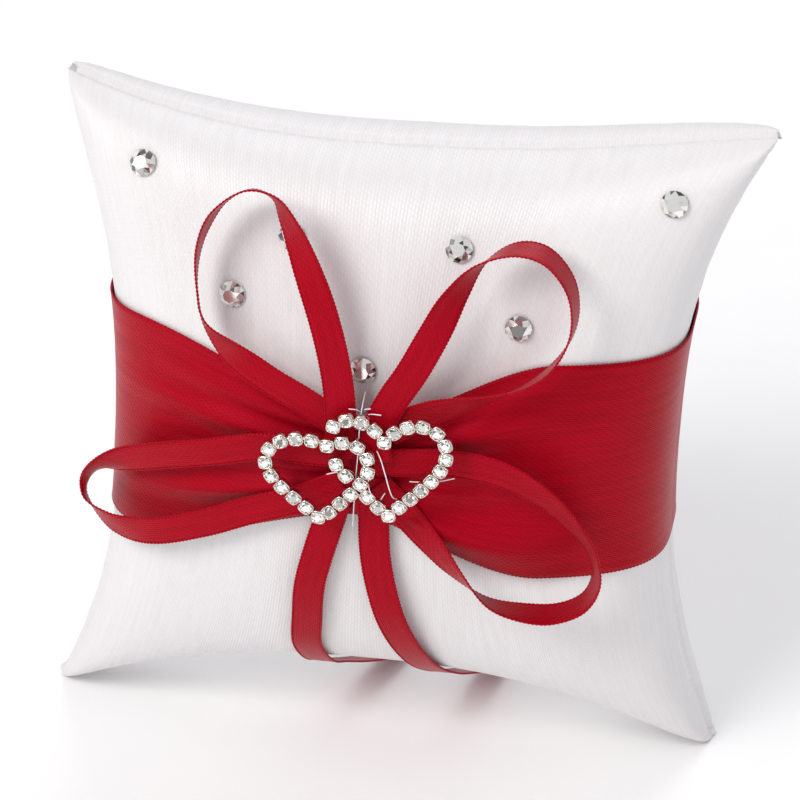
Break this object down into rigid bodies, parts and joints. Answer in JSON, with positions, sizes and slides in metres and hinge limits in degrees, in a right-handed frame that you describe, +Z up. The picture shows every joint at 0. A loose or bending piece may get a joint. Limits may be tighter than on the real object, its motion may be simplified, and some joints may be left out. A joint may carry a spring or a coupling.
{
  "type": "ring bearer pillow",
  "caption": "Small stuffed white satin cushion with a gathered wide red satin band, a bow of narrow ribbon, a linked-heart stone ornament and scattered flat-backed stones.",
  "frame": {"origin": "on the surface that the pillow stands on, under the middle of the pillow with its ornament (its bounding box, without the ribbon loops and tails)", "axes": "+X across the pillow to the viewer's right, +Y from the front to the back, +Z up"},
  "size_m": [0.1502, 0.0676, 0.1476],
  "materials": {
    "white_satin": "cool white bridal satin, soft sheen, fine twill",
    "stuffing": "loose white polyester fibre",
    "red_satin": "crimson satin ribbon, soft sheen, woven edges",
    "red_ribbon": "narrow crimson satin ribbon, woven picot edges",
    "silver_metal": "warm silver plate, bright",
    "crystal": "clear cut glass with a silvered back",
    "nylon_thread": "clear fine nylon thread"
  },
  "bodies": {
    "root": {"back_panel": "white_satin", "bow_loop_left": "red_ribbon", "bow_loop_lower_right": "red_ribbon", "bow_loop_upper_left": "red_ribbon", "bow_loop_upper_right": "red_ribbon", "bow_tail_left": "red_ribbon", "bow_tail_right": "red_ribbon", "closing_thread": "nylon_thread", "double_heart_frame": "silver_metal", "filling": "stuffing", "flat_back_stone_1": "crystal", "flat_back_stone_2": "crystal", "flat_back_stone_3": "crystal", "flat_back_stone_4": "crystal", "flat_back_stone_5": "crystal", "flat_back_stone_6": "crystal", "flat_back_stone_7": "crystal", "front_panel": "white_satin", "gathering_thread": "nylon_thread", "heart_stone_left_01": "crystal", "heart_stone_left_02": "crystal", "heart_stone_left_03": "crystal", "heart_stone_left_04": "crystal", "heart_stone_left_05": "crystal", "heart_stone_left_06": "crystal", "heart_stone_left_07": "crystal", "heart_stone_left_08": "crystal", "heart_stone_left_09": "crystal", "heart_stone_left_10": "crystal", "heart_stone_left_11": "crystal", "heart_stone_left_12": "crystal", "heart_stone_left_13": "crystal", "heart_stone_left_14": "crystal", "heart_stone_left_15": "crystal", "heart_stone_left_16": "crystal", "heart_stone_left_17": "crystal", "heart_stone_left_18": "crystal", "heart_stone_left_19": "crystal", "heart_stone_right_01": "crystal", "heart_stone_right_02": "crystal", "heart_stone_right_03": "crystal", "heart_stone_right_04": "crystal", "heart_stone_right_05": "crystal", "heart_stone_right_06": "crystal", "heart_stone_right_07": "crystal", "heart_stone_right_08": "crystal", "heart_stone_right_09": "crystal", "heart_stone_right_10": "crystal", "heart_stone_right_11": "crystal", "heart_stone_right_12": "crystal", "heart_stone_right_13": "crystal", "heart_stone_right_14": "crystal", "heart_stone_right_15": "crystal", "heart_stone_right_16": "crystal", "heart_stone_right_17": "crystal", "heart_stone_right_18": "crystal", "heart_stone_right_19": "crystal", "heart_stone_right_20": "crystal", "heart_stone_right_21": "crystal", "wide_band": "red_satin"}
  },
  "joints": []
}
